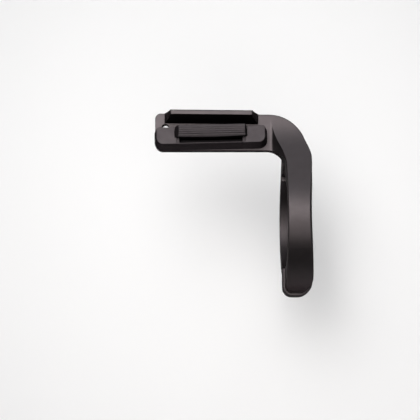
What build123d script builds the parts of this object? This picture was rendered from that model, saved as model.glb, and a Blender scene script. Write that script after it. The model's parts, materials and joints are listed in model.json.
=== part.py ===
from build123d import *
import math
import os

os.makedirs("parts", exist_ok=True)

# Side-arm computer mount for a handlebar. Millimetres.
# Origin at the middle of the clamp bore, +X along the bar to the rider's right, +Y forward, +Z up.

# Bar clamp
bar_diameter = 31.8
clamp_wall = 3.6
clamp_width = 8.9
jaw_width = 10.0
split_gap = 1.2
waist_depth = 1.8
waist_start = 4.0
arm_edge_round = 0.35
jaw_edge_round = 0.4

# Bolted lug behind the bar
lug_reach = 23.8
lug_drop = 2.6
lug_outer_corner = 4.1
lug_inner_corner = 2.4
flank_angle = 35.0
jaw_lug_overhang = 0.85
jaw_outer_corner = 4.8
jaw_inner_corner = 3.2
jaw_seat_depth = 9.6

# Hinge in front of the bar
knuckle_radius = 3.7
knuckle_bar_gap = 0.8
hinge_drop = 2.0
tongue_width = 3.6
tongue_side_clearance = 0.1
knuckle_clearance = 0.4
pin_diameter = 3.0
pin_running_clearance = 0.05
pin_end_recess = 0.2
pin_end_chamfer = 0.3
jaw_bore_start = 5.0

# Clamp bolt, M4 by 12, and its washer
bolt_diameter = 4.0
bolt_length = 12.0
bolt_head_diameter = 7.0
bolt_head_height = 4.0
bolt_socket = 3.0
bolt_socket_depth = 2.0
bolt_head_chamfer = 0.3
bolt_tip_chamfer = 0.5
bolt_edge_distance = 4.0
thread_clearance = 0.03
tapped_depth = 5.8
jaw_hole_clearance = 0.2
jaw_slot_travel = 1.0
washer_diameter = 8.0
washer_thickness = 0.8
washer_clearance = 0.15
spotface_clearance = 0.3

# Arm and dock platform, whose front edge slants back a little to the right
platform_top = 5.0
platform_thickness = 3.0
platform_front = 36.4
platform_depth = 12.7
platform_left = 48.3
platform_front_corner = 1.9
platform_rear_corner = 2.6
front_skew = 0.6
arm_slope = 32.0
arm_foot_radius = 19.0
outer_bend_radius = 12.6
outer_flank_angle = 21.0
outer_flank_run = 14.5
outer_flank_blend = 20.0
inner_bend_radius = 6.0
wall_foot = 8.8
wall_foot_angle = 33.0
wall_foot_round = 1.6
wall_rise = 5.75

# Rail along the front edge of the platform
rail_centre = 29.2
rail_length = 31.8
rail_top_length = 27.4
rail_thickness = 3.5
rail_top_thickness = 1.55
rail_height = 6.2
rail_front_lean = 0.2
rail_end_hollow = 0.3
rail_edge_round = 0.4

# Small through hole at the end of the channel
tether_hole_diameter = 2.6
tether_hole_left = 44.8
tether_hole_wall = 0.2

# Moulded dock plate, set at a small angle so that the channel tightens to the right
dock_centre = 29.4
dock_skew = 1.3
dock_length = 36.3
dock_depth = 5.7
dock_height = 5.2
dock_channel = 2.2
dock_front_draft = 1.05
dock_end_draft = 0.9
dock_front_corner = 2.2
dock_foot_corner = 2.8
dock_back_corner = 0.8
dock_edge_round = 0.2

# Latch tongue of the dock plate and the finger slot in front of it
latch_length = 24.0
latch_depth = 3.55
latch_rise = 2.0
latch_lip = 0.25
latch_lip_height = 1.6
latch_front_fall = 0.6
latch_bow = 0.3
latch_left_bevel = 1.4
latch_right_bevel = 0.7
latch_front_corner = 0.6
latch_floor = 1.2
latch_end_slit = 0.15
finger_length = 23.1
finger_rim = 0.3
finger_ledge = 0.4
finger_ledge_width = 0.95
rib_count = 4
rib_pitch = 0.75
rib_groove_radius = 0.25
rib_groove_depth = 0.12

# Screws that hold the dock plate from below
screw_spacing = 30.2
screw_diameter = 2.0
screw_head_diameter = 3.8
screw_head_height = 1.2
screw_length = 6.0
screw_clearance = 0.15
screw_tip_room = 0.5
screw_recess_diameter = 1.3
screw_recess_depth = 0.7

# Sizes that follow from those above
bore_radius = bar_diameter / 2
band_radius = bore_radius + clamp_wall
half_width = clamp_width / 2
bolt_y = -(lug_reach - bolt_edge_distance)
jaw_reach = lug_reach + jaw_lug_overhang
jaw_top = -(lug_drop + split_gap)
hinge_y = bore_radius + knuckle_bar_gap + knuckle_radius
platform_rear = platform_front - platform_depth
platform_bottom = platform_top - platform_thickness
slope = math.radians(arm_slope)
front_slant = math.tan(math.radians(front_skew))
front_left = platform_front + (platform_left - rail_centre) * front_slant
flank_x = half_width - outer_flank_run * math.tan(math.radians(outer_flank_angle))
front_right = platform_front - (rail_centre + flank_x) * front_slant
rail_along = (math.cos(math.radians(front_skew)), -math.sin(math.radians(front_skew)), 0)
rail_across = (math.sin(math.radians(front_skew)), math.cos(math.radians(front_skew)), 0)
rail_plane = Plane(origin=(-rail_centre, platform_front, platform_top), x_dir=rail_along)
rail_front_plane = Plane(origin=rail_plane.origin, x_dir=rail_along, z_dir=-rail_plane.y_dir)
rail_side_plane = Plane(origin=rail_plane.origin, x_dir=rail_across, z_dir=rail_along)
skew = math.radians(dock_skew)
dock_y = platform_front - rail_thickness - dock_channel - dock_depth / 2
dock_along = (math.cos(skew), math.sin(skew), 0)
dock_across = (-math.sin(skew), math.cos(skew), 0)
dock_plane = Plane(origin=(-dock_centre, dock_y, platform_top), x_dir=dock_along)
dock_side_plane = Plane(origin=dock_plane.origin, x_dir=dock_across, z_dir=dock_along)
dock_front_plane = Plane(origin=dock_plane.origin, x_dir=dock_along, z_dir=-dock_plane.y_dir)
screw_plane = Plane(origin=(-dock_centre, dock_y, platform_bottom), x_dir=dock_along)
pilot_depth = screw_length - platform_thickness + screw_tip_room
tether_hole_front = platform_front + (tether_hole_left - rail_centre) * front_slant - rail_thickness
tether_hole_y = tether_hole_front - tether_hole_wall - tether_hole_diameter / 2


STANDING = (Align.CENTER, Align.CENTER, Align.MIN)
HANGING = (Align.CENTER, Align.CENTER, Align.MAX)


def on_circle(radius, degrees):
    """Point of a circle about the bore in the side view, degrees up from straight ahead."""
    return (radius * math.cos(math.radians(degrees)), radius * math.sin(math.radians(degrees)))


def nearest_corner(sketch, x, y):
    """Corner of a sketch that lies nearest to a given place."""
    return sketch.vertices().sort_by_distance((x, y, 0))[0]


def upper_rim(part):
    """Edges that bound the upward faces of a part, without those that two such faces share."""
    upward = part.faces().filter_by(lambda face: face.normal_at().Z > 0.2)
    edges = [edge for face in upward for edge in face.edges()]
    return ShapeList(edge for edge in edges if edges.count(edge) == 1)


# Side view of the arm: band over the bar, ramp down to the platform, bolted lug behind
ramp_start = on_circle(band_radius, 90 - arm_slope)
ramp_run = (ramp_start[1] - platform_top) / math.tan(slope)
foot_tangent = arm_foot_radius * math.tan(slope / 2)
foot_y = ramp_start[0] + ramp_run
foot_start = (foot_y - foot_tangent * math.cos(slope), platform_top + foot_tangent * math.sin(slope))
foot_end = (foot_y + foot_tangent, platform_top)
flank_start = on_circle(band_radius, 90 + flank_angle)
flank_tangent = (-math.cos(math.radians(flank_angle)), -math.sin(math.radians(flank_angle)))
bore_front = (math.sqrt(bore_radius**2 - platform_bottom**2), platform_bottom)

# Rail along the front edge of the platform, with hollow ends
rail_foot_end = rail_length / 2
rail_top_end = rail_top_length / 2
rail_middle_end = (rail_foot_end + rail_top_end) / 2 - rail_end_hollow
rail_middle = rail_height / 2
with BuildPart() as rail:
    with BuildSketch(rail_front_plane):
        with BuildLine():
            Line((-rail_foot_end, 0), (rail_foot_end, 0))
            ThreePointArc((rail_foot_end, 0), (rail_middle_end, rail_middle), (rail_top_end, rail_height))
            Line((rail_top_end, rail_height), (-rail_top_end, rail_height))
            ThreePointArc((-rail_top_end, rail_height), (-rail_middle_end, rail_middle), (-rail_foot_end, 0))
        make_face()
    extrude(amount=rail_thickness, both=True)
    with BuildSketch(rail_side_plane):
        with BuildLine():
            Polyline(
                (0, 0),
                (-rail_front_lean, rail_height),
                (-rail_front_lean - rail_top_thickness, rail_height),
                (-rail_thickness, 0),
                close=True,
            )
        make_face()
    extrude(amount=rail_length, both=True, mode=Mode.INTERSECT)
    rail_crest = rail.faces().sort_by(Axis.Z)[-1]
    fillet(rail_crest.edges().sort_by(Axis.Y)[1:], rail_edge_round)

with BuildPart() as arm:
    with BuildSketch(Plane.YZ.offset(-platform_left)):
        with BuildLine():
            Line((front_left, platform_bottom), (front_left, platform_top))
            Line((front_left, platform_top), foot_end)
            TangentArc(foot_end, foot_start, tangent=(-1, 0))
            Line(foot_start, ramp_start)
            ThreePointArc(ramp_start, (0, band_radius), flank_start)
            TangentArc(flank_start, (-lug_reach, -lug_drop), tangent=flank_tangent)
            Line((-lug_reach, -lug_drop), (-bore_radius, -lug_drop))
            Line((-bore_radius, -lug_drop), (-bore_radius, 0))
            ThreePointArc((-bore_radius, 0), (0, bore_radius), bore_front)
            Line(bore_front, (front_left, platform_bottom))
        make_face()
    extrude(amount=platform_left + half_width)

    with BuildSketch(Plane.XY.offset(-band_radius)) as plan:
        with BuildLine():
            Polyline(
                (-platform_left, platform_rear),
                (-platform_left, front_left),
                (flank_x, front_right),
                (half_width, front_right - outer_flank_run),
                (half_width, -lug_reach),
                (-half_width, -lug_reach),
                (-half_width, platform_rear),
                close=True,
            )
        make_face()
        fillet(nearest_corner(plan, flank_x, front_right), outer_bend_radius)
        fillet(nearest_corner(plan, half_width, front_right - outer_flank_run), outer_flank_blend)
        fillet(nearest_corner(plan, -half_width, platform_rear), inner_bend_radius)
        fillet(nearest_corner(plan, -platform_left, front_left), platform_front_corner)
        fillet(nearest_corner(plan, -platform_left, platform_rear), platform_rear_corner)
        fillet(nearest_corner(plan, half_width, -lug_reach), lug_outer_corner)
        fillet(nearest_corner(plan, -half_width, -lug_reach), lug_inner_corner)
    extrude(amount=2 * band_radius, mode=Mode.INTERSECT)

    # Outboard face drawn in over the top of the bar
    with BuildSketch(Plane.XZ):
        with BuildLine():
            TangentArc((half_width, waist_start), (half_width - waist_depth, band_radius), tangent=(0, 1))
            Polyline(
                (half_width - waist_depth, band_radius),
                (half_width + waist_depth, band_radius),
                (half_width + waist_depth, waist_start),
                (half_width, waist_start),
            )
        make_face()
    extrude(amount=front_left, both=True, mode=Mode.SUBTRACT)
    fillet(upper_rim(arm), arm_edge_round)

    # Pocket that leaves the platform flat and the arm standing over it behind a hollow wall
    wall_tangent = (math.cos(math.radians(wall_foot_angle)), math.sin(math.radians(wall_foot_angle)))
    wall_top = platform_top + wall_rise
    with BuildSketch(Plane.XZ.offset(-platform_rear)) as pocket:
        with BuildLine():
            Line((-platform_left, platform_top), (-wall_foot, platform_top))
            TangentArc((-wall_foot, platform_top), (-half_width, wall_top), tangent=wall_tangent)
            Polyline(
                (-half_width, wall_top),
                (-half_width, band_radius),
                (-platform_left, band_radius),
                (-platform_left, platform_top),
            )
        make_face()
        fillet(pocket.vertices().sort_by_distance((-wall_foot, platform_top, 0))[0], wall_foot_round)
    extrude(amount=platform_depth, both=True, mode=Mode.SUBTRACT)

    # Tongue that carries the jaw's hinge pin
    with BuildSketch(Plane.YZ):
        with Locations((hinge_y, -hinge_drop)):
            Circle(knuckle_radius)
            Rectangle(2 * knuckle_radius, hinge_drop + platform_bottom, align=(Align.CENTER, Align.MIN))
    extrude(amount=tongue_width / 2, both=True)
    with BuildSketch(Plane.YZ):
        with Locations((hinge_y, -hinge_drop)):
            Circle(pin_diameter / 2 + pin_running_clearance)
    extrude(amount=tongue_width, both=True, mode=Mode.SUBTRACT)

    add(rail.part)

    # Tapped hole for the clamp bolt, the dock screws' countersinks and the small through hole
    with Locations(Location((0, bolt_y, -lug_drop))):
        Cylinder(bolt_diameter / 2 + thread_clearance, tapped_depth, align=STANDING, mode=Mode.SUBTRACT)
    with Locations(screw_plane):
        with GridLocations(screw_spacing, 1, 2, 1):
            Cylinder(screw_diameter / 2 + screw_clearance, platform_thickness, align=STANDING, mode=Mode.SUBTRACT)
            Cone(
                screw_head_diameter / 2 + screw_clearance,
                screw_diameter / 2 + screw_clearance,
                screw_head_height,
                align=STANDING,
                mode=Mode.SUBTRACT,
            )
    with Locations(Location((-tether_hole_left, tether_hole_y, platform_bottom))):
        Cylinder(tether_hole_diameter / 2, platform_thickness, align=STANDING, mode=Mode.SUBTRACT)

# Lower jaw: band under the bar, hinge ears in front and bolted lug behind
ear_to_band = math.acos((band_radius - knuckle_radius) / math.hypot(hinge_y, hinge_drop))
underside_angle = -math.degrees(math.atan2(hinge_drop, hinge_y) + ear_to_band)
band_tangent = on_circle(band_radius, underside_angle)
ear_offset = on_circle(knuckle_radius, underside_angle)
ear_tangent = (hinge_y + ear_offset[0], -hinge_drop + ear_offset[1])
ear_top = (hinge_y, -hinge_drop + knuckle_radius)
ear_back = (hinge_y - knuckle_radius, -hinge_drop)
seat_inner = (-math.sqrt(band_radius**2 - jaw_seat_depth**2), -jaw_seat_depth)
jaw_bore_front = (math.sqrt(bore_radius**2 - jaw_bore_start**2), -jaw_bore_start)
jaw_bore_rear = (-math.sqrt(bore_radius**2 - jaw_top**2), jaw_top)

with BuildPart() as clamp_jaw:
    with BuildSketch(Plane.YZ):
        with BuildLine():
            ThreePointArc(ear_back, ear_top, ear_tangent)
            Line(ear_tangent, band_tangent)
            ThreePointArc(band_tangent, (0, -band_radius), seat_inner)
            Polyline(seat_inner, (-jaw_reach, -jaw_seat_depth), (-jaw_reach, jaw_top), jaw_bore_rear)
            ThreePointArc(jaw_bore_rear, (0, -bore_radius), jaw_bore_front)
            Polyline(jaw_bore_front, (ear_back[0], -jaw_bore_start), ear_back)
        make_face()
    extrude(amount=jaw_width / 2, both=True)
    for side, corner in ((-1, jaw_outer_corner), (0, jaw_inner_corner)):
        lug_corners = clamp_jaw.edges().filter_by(Axis.Z).group_by(Axis.Y)[0].sort_by(Axis.X)
        fillet(lug_corners[side], corner)
    lug_top = clamp_jaw.faces().filter_by(Axis.Z).sort_by(Axis.Z)[-1]
    fillet(lug_top.edges().filter_by(lambda edge: edge.center().Y < -bore_radius), jaw_edge_round)

    # Slot between the ears, hinge bore, bolt slot and spotface
    with BuildSketch(Plane.YZ):
        with Locations((hinge_y, -hinge_drop)):
            Circle(knuckle_radius + knuckle_clearance)
    extrude(amount=tongue_width / 2 + tongue_side_clearance, both=True, mode=Mode.SUBTRACT)
    with BuildSketch(Plane.YZ):
        with Locations((hinge_y, -hinge_drop)):
            Circle(pin_diameter / 2)
    extrude(amount=jaw_width / 2, both=True, mode=Mode.SUBTRACT)
    with BuildSketch(Plane.XY.offset(jaw_top)):
        with Locations((0, bolt_y - jaw_slot_travel / 2)):
            SlotCenterToCenter(jaw_slot_travel, bolt_diameter + 2 * jaw_hole_clearance, rotation=90)
    extrude(amount=-jaw_seat_depth, mode=Mode.SUBTRACT)
    with Locations(Location((0, bolt_y, -jaw_seat_depth))):
        Cylinder(
            washer_diameter / 2 + spotface_clearance,
            band_radius - jaw_seat_depth,
            align=HANGING,
            mode=Mode.SUBTRACT,
        )

# Hinge pin, pressed into the ears
with BuildPart() as hinge_pin:
    with BuildSketch(Plane.YZ):
        with Locations((hinge_y, -hinge_drop)):
            Circle(pin_diameter / 2)
    extrude(amount=jaw_width / 2 - pin_end_recess, both=True)
    chamfer(hinge_pin.edges().filter_by(GeomType.CIRCLE), pin_end_chamfer)

# Washer and socket-head clamp bolt, driven from below
with BuildPart() as bolt_washer:
    with BuildSketch(Plane.XY.offset(-jaw_seat_depth)):
        with Locations((0, bolt_y)):
            Circle(washer_diameter / 2)
            Circle(bolt_diameter / 2 + washer_clearance, mode=Mode.SUBTRACT)
    extrude(amount=-washer_thickness)

bolt_seat = -jaw_seat_depth - washer_thickness
with BuildPart() as clamp_bolt:
    with Locations(Location((0, bolt_y, bolt_seat))):
        Cylinder(bolt_head_diameter / 2, bolt_head_height, align=HANGING)
        Cylinder(bolt_diameter / 2, bolt_length, align=STANDING)
    head_rim = clamp_bolt.edges().filter_by(GeomType.CIRCLE).group_by(Axis.Z)[0]
    chamfer(head_rim, bolt_head_chamfer)
    tip_rim = clamp_bolt.edges().filter_by(GeomType.CIRCLE).group_by(Axis.Z)[-1]
    chamfer(tip_rim, bolt_tip_chamfer)
    with BuildSketch(Plane.XY.offset(bolt_seat - bolt_head_height)):
        with Locations((0, bolt_y)):
            RegularPolygon(bolt_socket / 2, 6, major_radius=False)
    extrude(amount=bolt_socket_depth, mode=Mode.SUBTRACT)

# Ribbed latch tongue, with a lip over the channel, a bowed front face and bevelled ends
tongue_back = dock_depth / 2
tongue_front = tongue_back - latch_depth
tongue_top = dock_height + latch_rise
lip_edge = tongue_back + latch_lip
lip_top = (lip_edge, tongue_top - latch_lip)
crown_front = (tongue_front - latch_bow, tongue_top - latch_front_fall)
half_latch = latch_length / 2

with BuildPart() as latch_tongue:
    with BuildSketch(dock_side_plane):
        with BuildLine():
            Polyline(
                crown_front,
                (tongue_front - latch_bow, latch_floor),
                (tongue_back, latch_floor),
                (tongue_back, tongue_top - latch_lip_height),
                (lip_edge, tongue_top - latch_lip_height + latch_lip),
                lip_top,
            )
            crown = ThreePointArc(lip_top, ((crown_front[0] + lip_edge) / 2, tongue_top), crown_front)
        make_face()
    extrude(amount=half_latch, both=True)
    with BuildSketch(dock_plane) as latch_plan:
        with BuildLine():
            ThreePointArc((-half_latch, tongue_front), (0, tongue_front - latch_bow), (half_latch, tongue_front))
            Polyline(
                (half_latch, tongue_front),
                (half_latch, lip_edge),
                (-half_latch, lip_edge),
                (-half_latch, tongue_front),
            )
        make_face()
        fillet(latch_plan.vertices().group_by(Axis.Y)[0], latch_front_corner)
    extrude(amount=tongue_top, mode=Mode.INTERSECT)
    with BuildSketch(dock_front_plane):
        with BuildLine():
            Polyline(
                (-half_latch, latch_floor),
                (-half_latch, dock_height),
                (latch_left_bevel - half_latch, tongue_top),
                (half_latch - latch_right_bevel, tongue_top),
                (half_latch, dock_height),
                (half_latch, latch_floor),
                close=True,
            )
        make_face()
    extrude(amount=dock_depth, both=True, mode=Mode.INTERSECT)
    with BuildSketch(dock_side_plane):
        for rib in range(rib_count):
            along_crown = 0.5 + (rib - (rib_count - 1) / 2) * rib_pitch / crown.length
            with Locations(crown @ along_crown + Vector(0, rib_groove_radius - rib_groove_depth)):
                Circle(rib_groove_radius)
    extrude(amount=half_latch, both=True, mode=Mode.SUBTRACT)

# Moulded dock plate: drafted block round the tongue, with a stepped finger slot in front of it
slot_front = finger_rim - dock_depth / 2
slot_depth = tongue_back - slot_front
with BuildPart() as dock_plate:
    with BuildSketch(dock_plane) as dock_foot:
        with Locations((0, -dock_front_draft / 2)):
            Rectangle(dock_length + 2 * dock_end_draft, dock_depth + dock_front_draft)
        fillet(dock_foot.vertices().group_by(Axis.Y)[0], dock_foot_corner)
        fillet(dock_foot.vertices().group_by(Axis.Y)[-1], dock_back_corner)
    with BuildSketch(dock_plane.offset(dock_height)) as dock_top:
        Rectangle(dock_length, dock_depth)
        fillet(dock_top.vertices().group_by(Axis.Y)[0], dock_front_corner)
        fillet(dock_top.vertices().group_by(Axis.Y)[-1], dock_back_corner)
    loft()
    fillet(dock_plate.faces().sort_by(Axis.Z)[-1].edges(), dock_edge_round)
    with BuildSketch(dock_plane.offset(dock_height - finger_ledge)):
        with Locations((0, slot_front)):
            Rectangle(finger_length, slot_depth, align=(Align.CENTER, Align.MIN))
    extrude(amount=dock_height, mode=Mode.SUBTRACT)
    with BuildSketch(dock_plane.offset(latch_floor)):
        with Locations((0, slot_front)):
            Rectangle(finger_length - 2 * finger_ledge_width, slot_depth, align=(Align.CENTER, Align.MIN))
        with Locations((0, tongue_back)):
            Rectangle(latch_length + 2 * latch_end_slit, latch_depth, align=(Align.CENTER, Align.MAX))
    extrude(amount=dock_height, mode=Mode.SUBTRACT)
    add(latch_tongue.part)
    with Locations(dock_plane):
        with GridLocations(screw_spacing, 1, 2, 1):
            Cylinder(screw_diameter / 2, pilot_depth, align=STANDING, mode=Mode.SUBTRACT)

# Pair of countersunk screws that hold the dock plate from below
with BuildPart() as dock_screws:
    with Locations(screw_plane):
        with GridLocations(screw_spacing, 1, 2, 1):
            Cylinder(screw_diameter / 2, screw_length, align=STANDING)
            Cone(screw_head_diameter / 2, screw_diameter / 2, screw_head_height, align=STANDING)
    with BuildSketch(screw_plane):
        with GridLocations(screw_spacing, 1, 2, 1):
            RegularPolygon(screw_recess_diameter / 2, 6)
    extrude(amount=screw_recess_depth, mode=Mode.SUBTRACT)

arm.part.label = "arm"
export_step(arm.part, "parts/arm.step")
clamp_jaw.part.label = "clamp_jaw"
export_step(clamp_jaw.part, "parts/clamp_jaw.step")
hinge_pin.part.label = "hinge_pin"
export_step(hinge_pin.part, "parts/hinge_pin.step")
bolt_washer.part.label = "bolt_washer"
export_step(bolt_washer.part, "parts/bolt_washer.step")
clamp_bolt.part.label = "clamp_bolt"
export_step(clamp_bolt.part, "parts/clamp_bolt.step")
dock_plate.part.label = "dock_plate"
export_step(dock_plate.part, "parts/dock_plate.step")
dock_screws.part.label = "dock_screws"
export_step(dock_screws.part, "parts/dock_screws.step")
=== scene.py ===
import json
import math

import bpy
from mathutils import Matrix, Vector


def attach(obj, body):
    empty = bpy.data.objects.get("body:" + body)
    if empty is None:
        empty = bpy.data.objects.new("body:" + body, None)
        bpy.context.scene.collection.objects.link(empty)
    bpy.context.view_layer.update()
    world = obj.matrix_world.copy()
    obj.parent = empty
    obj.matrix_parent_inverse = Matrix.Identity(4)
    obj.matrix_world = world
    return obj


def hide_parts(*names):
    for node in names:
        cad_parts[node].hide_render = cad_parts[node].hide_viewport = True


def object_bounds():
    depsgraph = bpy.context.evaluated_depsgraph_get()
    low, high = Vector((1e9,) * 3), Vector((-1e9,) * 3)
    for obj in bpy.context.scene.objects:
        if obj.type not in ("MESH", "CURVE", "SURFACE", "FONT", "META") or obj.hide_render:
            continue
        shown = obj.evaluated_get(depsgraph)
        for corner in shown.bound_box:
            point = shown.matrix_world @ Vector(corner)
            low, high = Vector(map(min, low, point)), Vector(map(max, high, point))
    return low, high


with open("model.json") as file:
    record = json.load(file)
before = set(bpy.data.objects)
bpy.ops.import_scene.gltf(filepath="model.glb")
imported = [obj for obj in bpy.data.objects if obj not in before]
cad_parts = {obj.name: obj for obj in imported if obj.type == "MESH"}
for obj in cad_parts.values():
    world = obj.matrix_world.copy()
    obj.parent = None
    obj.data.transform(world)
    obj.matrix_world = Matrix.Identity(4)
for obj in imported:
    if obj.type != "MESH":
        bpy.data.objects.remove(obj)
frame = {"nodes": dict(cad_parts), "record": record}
cad_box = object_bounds()

# Metres, radians and linear colours, unless a comment says otherwise.

# Camera: above the handlebar and a little behind it, as the rider sees it. Angle in degrees.
IMAGE_SIDE = 420  # pixels
BAR_SCALE = 2956.0  # pixels per metre at the bar's axis
CAMERA_ELEVATION = 80.0
CAMERA_DISTANCE = 0.380
CAMERA_SIDE = -0.0297
BAR_AXIS_BELOW_CENTRE = 12.0 / BAR_SCALE
SENSOR_WIDTH = 36.0  # millimetres

# Floor
FLOOR_DROP = 0.030
FLOOR_SIZE = 6.0
FLOOR_COLOURS = (0.90, 0.90, 0.90), (0.94, 0.94, 0.94)
FLOOR_ROUGHNESS = (0.8, 0.95)
FLOOR_PATCH = 0.25
FLOOR_DETAIL = 3

# Softboxes: place, size across and up, radiance, colour and spread in degrees
SOFTBOX_TARGET = (-0.02, 0.02, 0.0)
SOFTBOXES = {
    "softbox_above": ((-0.10, 0.13, 0.39), (0.32, 0.32), 0.74, (1.0, 0.985, 0.97), 60.0),
    "softbox_rear": ((-0.03, -0.13, 0.38), (0.32, 0.32), 1.5, (1.0, 0.96, 0.94), 180.0),
    "softbox_front": ((-0.02, 0.39, 0.21), (0.32, 0.54), 0.86, (0.94, 0.975, 1.0), 180.0),
}

# Room: its colour rises from the rear to the front along the direction's Y
ROOM_REAR = (0.062, 0.062, 0.062)
ROOM_FRONT = (0.385, 0.39, 0.40)
ROOM_RISE = (-0.9, 0.45)

# Shared by the finishes
PATCH_SIZE = 0.006
PATCH_DETAIL = 3
ROUGHNESS_PATCH_SIZE = PATCH_SIZE / 3
ROUGHNESS_DETAIL = 4
PLAIN_DETAIL = 2
NOISE_SPAN = (0.3, 0.7)
EDGE_SAMPLES = 6
EDGE_TURN = (0.995, 0.85)  # cosine of the softened normal's turn, where the mask starts and where it is full
# Painted shade: the finishes' colour falls towards a near-black colour where ambient occlusion within this reach
# finds the surroundings closed.
PAINTED_SHADE_REACH = 0.004
PAINTED_SHADE_SAMPLES = 8
PAINTED_SHADE_SPAN = (0.15, 0.8)  # open share of the surroundings, in a deep recess and on an open face
PAINTED_SHADE_COLOUR = (0.002, 0.002, 0.002)

# Finishes: two patch colours and the edges' colour, which is partly wear and partly a painted highlight, radius of
# the softened edges, span of roughness, grain's size and depth, how much of the colour is left under the painted
# shade in recesses, and the metal's tint at grazing angles
FINISHES = {
    "anodised_black": {
        "patches": ((0.0670, 0.0585, 0.0600), (0.0730, 0.0635, 0.0660)),
        "edges": (0.102, 0.090, 0.092),
        "edge_radius": 0.00005,
        "roughness": (0.40, 0.46),
        "grain": (0.00011, 2.5e-6),
        "painted_shade_left": 0.5,
        "tint": 0.15,
    },
    "moulded_black": {
        "patches": ((0.0495, 0.0435, 0.0460), (0.0555, 0.0490, 0.0515)),
        "edges": (0.076, 0.068, 0.071),
        "edge_radius": 0.00015,
        "roughness": (0.46, 0.54),
        "grain": (0.00016, 4e-6),
        "painted_shade_left": 0.25,
        "tint": 0.05,
    },
    "black_steel": {
        "patches": ((0.042, 0.041, 0.042), (0.054, 0.052, 0.053)),
        "edges": (0.085, 0.083, 0.083),
        "edge_radius": 0.00005,
        "roughness": (0.30, 0.40),
        "grain": (0.00011, 1e-6),
        "painted_shade_left": 0.5,
        "tint": 0.4,
    },
    "bright_steel": {
        "patches": ((0.5, 0.5, 0.51), (0.58, 0.58, 0.59)),
        "edges": (0.62, 0.62, 0.63),
        "edge_radius": 0.00005,
        "roughness": (0.25, 0.35),
        "grain": (0.00011, 1e-6),
        "painted_shade_left": 0.7,
        "tint": 1.0,
    },
}

# Turned pieces: points in a ring, radius of the smallest ring and the angle from which an edge is sharp
RING_POINTS = 192
AXIS_RADIUS = 0.0001
SHARP_ANGLE = math.radians(40)

# Clamp bolt: M4 socket screw with its head down, in the solid's place. Lengths of the knurl's foot and start run
# up from the head's end, and those of its end and of the collar above it run down from the head's seat.
BOLT_PLACE = (0.0, -0.0198, -0.0104)
BOLT_RADIUS = 0.002
BOLT_LENGTH = 0.012
BOLT_TIP_CHAMFER = 0.0005
THREAD_PITCH = 0.0007
THREAD_DEPTH = 0.00042
THREAD_START = 0.0004
THREAD_STEPS = 8  # rings in a turn
THREAD_FLANK = 1.6
THREAD_CREST = 0.3
HEAD_RADIUS = 0.0035
HEAD_HEIGHT = 0.004
HEAD_CHAMFER = 0.0003
KNURLS = 48
KNURL_DEPTH = 0.00012
KNURL_FOOT = 0.00025
KNURL_START = 0.0004
KNURL_END = 0.0007
COLLAR_TOP = 0.0001
COLLAR_FOOT = 0.0006
SOCKET_ACROSS = 0.003
SOCKET_DEPTH = 0.002
SOCKET_CHAMFER = 0.0001
SOCKET_MOUTH = SOCKET_ACROSS * 0.6
SOCKET_FLOOR_RISE = 0.0002

# Drill point that closes the tapped hole over the bolt's tip
HOLE_END_RADIUS = 0.00201
HOLE_END_FOOT = 0.0019
HOLE_END_TIP = 0.0031
HOLE_END_TOP = 0.00319


def add(tree, kind, inputs=None, **properties):
    """New node with its properties and inputs set, where an input is a constant or another node's output."""
    node = tree.nodes.new(kind)
    for name, value in properties.items():
        setattr(node, name, value)
    for key, value in (inputs or {}).items():
        if isinstance(value, bpy.types.NodeSocket):
            tree.links.new(value, node.inputs[key])
        else:
            node.inputs[key].default_value = value
    return node


def node_material(name, constants):
    """New material with its Principled shader's constant inputs set."""
    material = bpy.data.materials.new(name)
    material.use_nodes = True
    tree = material.node_tree
    shader = tree.nodes["Principled BSDF"]
    for key, value in constants.items():
        shader.inputs[key].default_value = value
    return material, tree, shader


def mapped(tree, value, source, target=(0.0, 1.0)):
    """Value taken from one span to another and kept inside it."""
    inputs = {"Value": value, "From Min": source[0], "From Max": source[1], "To Min": target[0], "To Max": target[1]}
    return add(tree, "ShaderNodeMapRange", inputs).outputs["Result"]


def noise(tree, size, detail=PLAIN_DETAIL, span=(0.0, 1.0)):
    """Noise in the object's own coordinates, with features of a given size and values in a given span."""
    place = add(tree, "ShaderNodeTexCoord").outputs["Object"]
    texture = add(tree, "ShaderNodeTexNoise", {"Vector": place, "Scale": 1.0 / size, "Detail": detail})
    return mapped(tree, texture.outputs["Fac"], NOISE_SPAN, span)


def mixed(tree, factor, first, second):
    """Colour between two colours, each a constant or an output."""
    mix = add(tree, "ShaderNodeMix", {0: factor}, data_type="RGBA")
    for index, colour in ((6, first), (7, second)):
        if isinstance(colour, bpy.types.NodeSocket):
            tree.links.new(colour, mix.inputs[index])
        else:
            mix.inputs[index].default_value = (*colour, 1)
    return mix.outputs[2]


def softened_edges(tree, radius):
    """Normal that is rounded off at edges, and a value that is 1 along them and 0 on flat faces."""
    soft = add(tree, "ShaderNodeBevel", {"Radius": radius}, samples=EDGE_SAMPLES).outputs["Normal"]
    plain = add(tree, "ShaderNodeNewGeometry").outputs["Normal"]
    turn = add(tree, "ShaderNodeVectorMath", {0: soft, 1: plain}, operation="DOT_PRODUCT").outputs["Value"]
    return soft, mapped(tree, turn, EDGE_TURN)


def grained(tree, normal, size, depth):
    """Normal with a fine random grain of a given size and depth."""
    bump = {"Strength": 1.0, "Distance": depth, "Height": noise(tree, size), "Normal": normal}
    return add(tree, "ShaderNodeBump", bump).outputs["Normal"]


def painted_shade_factor(tree, painted_shade_left):
    """Painted shade: a value from a given low one in recesses to 1 on open faces, read from ambient occlusion."""
    occlusion = add(tree, "ShaderNodeAmbientOcclusion", {"Distance": PAINTED_SHADE_REACH}, samples=PAINTED_SHADE_SAMPLES)
    return mapped(tree, occlusion.outputs["AO"], PAINTED_SHADE_SPAN, (painted_shade_left, 1.0))


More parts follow.
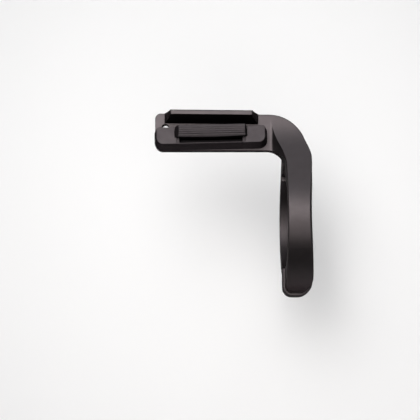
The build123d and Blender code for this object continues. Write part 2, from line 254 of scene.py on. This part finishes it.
def finish_material(name, patches, edges, edge_radius, roughness, grain, painted_shade_left, tint):
    """Dark metal look with patchy colour and roughness, edges lightened partly by wear and partly as a painted
    highlight, painted shade in recesses and a fine grain.
    """
    material, tree, shader = node_material(name, {"Metallic": 1.0, "Specular Tint": (tint, tint, tint, 1)})
    normal, edge = softened_edges(tree, edge_radius)
    colour = mixed(tree, noise(tree, PATCH_SIZE, PATCH_DETAIL), *patches)
    # Edge colour: partly wear and partly a painted highlight along edges and creases.
    worn_and_highlit = mixed(tree, edge, colour, edges)
    # Painted shade: the colour darkens towards near black in recesses, creases and at the foot of walls.
    colour_in_painted_shade = mixed(tree, painted_shade_factor(tree, painted_shade_left), PAINTED_SHADE_COLOUR, worn_and_highlit)
    tree.links.new(colour_in_painted_shade, shader.inputs["Base Color"])
    tree.links.new(noise(tree, ROUGHNESS_PATCH_SIZE, ROUGHNESS_DETAIL, roughness), shader.inputs["Roughness"])
    tree.links.new(grained(tree, normal, *grain), shader.inputs["Normal"])
    return material


def make_camera():
    """Camera of the photograph, which looks forward and down across the bar."""
    elevation = math.radians(CAMERA_ELEVATION)
    forward = Vector((0, math.cos(elevation), -math.sin(elevation)))
    up = Vector((0, math.sin(elevation), math.cos(elevation)))
    data = bpy.data.cameras.new("camera")
    data.sensor_width = SENSOR_WIDTH
    data.lens = BAR_SCALE * CAMERA_DISTANCE / IMAGE_SIDE * SENSOR_WIDTH
    camera = bpy.data.objects.new("camera", data)
    camera.location = Vector((CAMERA_SIDE, 0, 0)) - CAMERA_DISTANCE * forward + BAR_AXIS_BELOW_CENTRE * up
    camera.rotation_euler = forward.to_track_quat("-Z", "Y").to_euler()
    bpy.context.scene.collection.objects.link(camera)
    bpy.context.scene.camera = camera


def make_floor():
    """Plain pale floor below the part, uneven in colour and roughness."""
    mesh = bpy.data.meshes.new("floor")
    half = FLOOR_SIZE / 2
    z = cad_box[0].z - FLOOR_DROP
    mesh.from_pydata([(-half, -half, z), (half, -half, z), (half, half, z), (-half, half, z)], [], [(0, 1, 2, 3)])
    floor = bpy.data.objects.new("floor", mesh)
    bpy.context.scene.collection.objects.link(floor)
    material, tree, shader = node_material("floor", {"Specular IOR Level": 0.0})
    tree.links.new(mixed(tree, noise(tree, FLOOR_PATCH, FLOOR_DETAIL), *FLOOR_COLOURS), shader.inputs["Base Color"])
    tree.links.new(noise(tree, FLOOR_PATCH, PLAIN_DETAIL, FLOOR_ROUGHNESS), shader.inputs["Roughness"])
    floor.data.materials.append(material)


def make_softbox(name, place, size, radiance, colour, spread):
    """Rectangular lamp that faces the part."""
    data = bpy.data.lights.new(name, "AREA")
    data.shape = "RECTANGLE"
    data.size, data.size_y = size
    data.energy = radiance * math.pi * size[0] * size[1]
    data.color = colour
    data.spread = math.radians(spread)
    light = bpy.data.objects.new(name, data)
    light.location = place
    light.rotation_euler = (Vector(place) - Vector(SOFTBOX_TARGET)).to_track_quat("Z", "Y").to_euler()
    bpy.context.scene.collection.objects.link(light)


def make_room():
    """World whose brightness rises from the rear to the front."""
    world = bpy.data.worlds.new("room")
    world.use_nodes = True
    tree = world.node_tree
    direction = add(tree, "ShaderNodeTexCoord").outputs["Generated"]
    forward = add(tree, "ShaderNodeSeparateXYZ", {"Vector": direction}).outputs["Y"]
    inputs = {"Value": forward, "From Min": ROOM_RISE[0], "From Max": ROOM_RISE[1]}
    rise = add(tree, "ShaderNodeMapRange", inputs, interpolation_type="SMOOTHSTEP").outputs["Result"]
    tree.links.new(mixed(tree, rise, ROOM_REAR, ROOM_FRONT), tree.nodes["Background"].inputs["Color"])
    bpy.context.scene.world = world


def circle(radius):
    """Radius function of a plain ring."""
    return lambda angle, z: radius


def socket_radius(angle, z):
    """Radius of the hexagon socket's wall."""
    return SOCKET_ACROSS / 2 / math.cos((angle + math.pi / 6) % (math.pi / 3) - math.pi / 6)


def knurl_radius(angle, z):
    """Radius of the head's knurled side."""
    return HEAD_RADIUS - KNURL_DEPTH * abs(2 * (angle * KNURLS / math.tau % 1) - 1)


def thread_radius(angle, z):
    """Radius of the thread, which runs out under the head and at the tip."""
    phase = abs(2 * ((z / THREAD_PITCH - angle / math.tau) % 1) - 1)
    ends = min(z - THREAD_START, BOLT_LENGTH - THREAD_START - z) / THREAD_PITCH
    cut = min(max(THREAD_FLANK * phase - THREAD_CREST, 0), 1) * min(max(ends, 0), 1)
    return BOLT_RADIUS - THREAD_DEPTH * cut


def turned_piece(name, rings, place, body, slot):
    """Closed piece through rings of points about an upright axis, each a radius function and a height."""
    points = [
        (radius(angle, z) * math.cos(angle), radius(angle, z) * math.sin(angle), z)
        for radius, z in rings
        for angle in (math.tau * index / RING_POINTS for index in range(RING_POINTS))
    ]
    faces = [tuple(reversed(range(RING_POINTS)))]
    for ring in range(len(rings) - 1):
        for index in range(RING_POINTS):
            here = ring * RING_POINTS + index
            beside = ring * RING_POINTS + (index + 1) % RING_POINTS
            faces.append((here, beside, beside + RING_POINTS, here + RING_POINTS))
    faces.append(tuple(range(len(points) - RING_POINTS, len(points))))
    mesh = bpy.data.meshes.new(name)
    mesh.from_pydata(points, [], faces)
    mesh.polygons.foreach_set("use_smooth", [True] * len(mesh.polygons))
    mesh.set_sharp_from_angle(angle=SHARP_ANGLE)
    mesh.materials.append(materials[slot])
    piece = bpy.data.objects.new(name, mesh)
    piece.location = place
    bpy.context.scene.collection.objects.link(piece)
    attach(piece, body)
    return piece


def make_bolt():
    """Bolt through rings from the middle of the socket's floor, over the head and along the thread to its tip."""
    head_end = -HEAD_HEIGHT
    socket_floor = head_end + SOCKET_DEPTH
    thread_end = BOLT_LENGTH - THREAD_START
    thread_length = thread_end - THREAD_START
    steps = round(thread_length / THREAD_PITCH * THREAD_STEPS)
    collar = circle(HEAD_RADIUS - KNURL_DEPTH)
    head_rim = circle(HEAD_RADIUS - HEAD_CHAMFER)
    shank = circle(BOLT_RADIUS)
    socket = [
        (circle(AXIS_RADIUS), socket_floor + SOCKET_FLOOR_RISE),
        (socket_radius, socket_floor),
        (socket_radius, head_end + SOCKET_CHAMFER),
        (circle(SOCKET_MOUTH), head_end),
    ]
    head = [
        (head_rim, head_end),
        (collar, head_end + KNURL_FOOT),
        (knurl_radius, head_end + KNURL_START),
        (knurl_radius, -KNURL_END),
        (collar, -COLLAR_FOOT),
        (collar, -COLLAR_TOP),
        (head_rim, 0),
    ]
    thread = [(thread_radius, THREAD_START + thread_length * step / steps) for step in range(1, steps)]
    tip = [
        (shank, thread_end),
        (circle(BOLT_RADIUS - BOLT_TIP_CHAMFER), BOLT_LENGTH),
        (circle(AXIS_RADIUS), BOLT_LENGTH),
    ]
    rings = socket + head + [(shank, 0), (shank, THREAD_START)] + thread + tip
    bolt = turned_piece("clamp_bolt_threaded", rings, BOLT_PLACE, "bolt", "black_steel")
    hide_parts("clamp_bolt")


def make_hole_end():
    """Cone-shaped blind end of the tapped hole, in the bolt's line."""
    axis, wall = circle(AXIS_RADIUS / 2), circle(HOLE_END_RADIUS)
    rings = [(axis, HOLE_END_TIP), (wall, HOLE_END_FOOT), (wall, HOLE_END_TOP), (axis, HOLE_END_TOP)]
    turned_piece("tapped_hole_end", rings, (BOLT_PLACE[0], BOLT_PLACE[1], 0.0), "mount_body", "anodised_black")


materials = {name: finish_material(name, **finish) for name, finish in FINISHES.items()}
for part in frame["record"]["subparts"]:
    node = frame["nodes"][part["node"]]
    node.data.materials.clear()
    node.data.materials.append(materials[part["material_slot"]])

make_camera()
make_floor()
for softbox, settings in SOFTBOXES.items():
    make_softbox(softbox, *settings)
make_room()
make_bolt()
make_hole_end()
bpy.context.scene.view_settings.view_transform = "Standard"
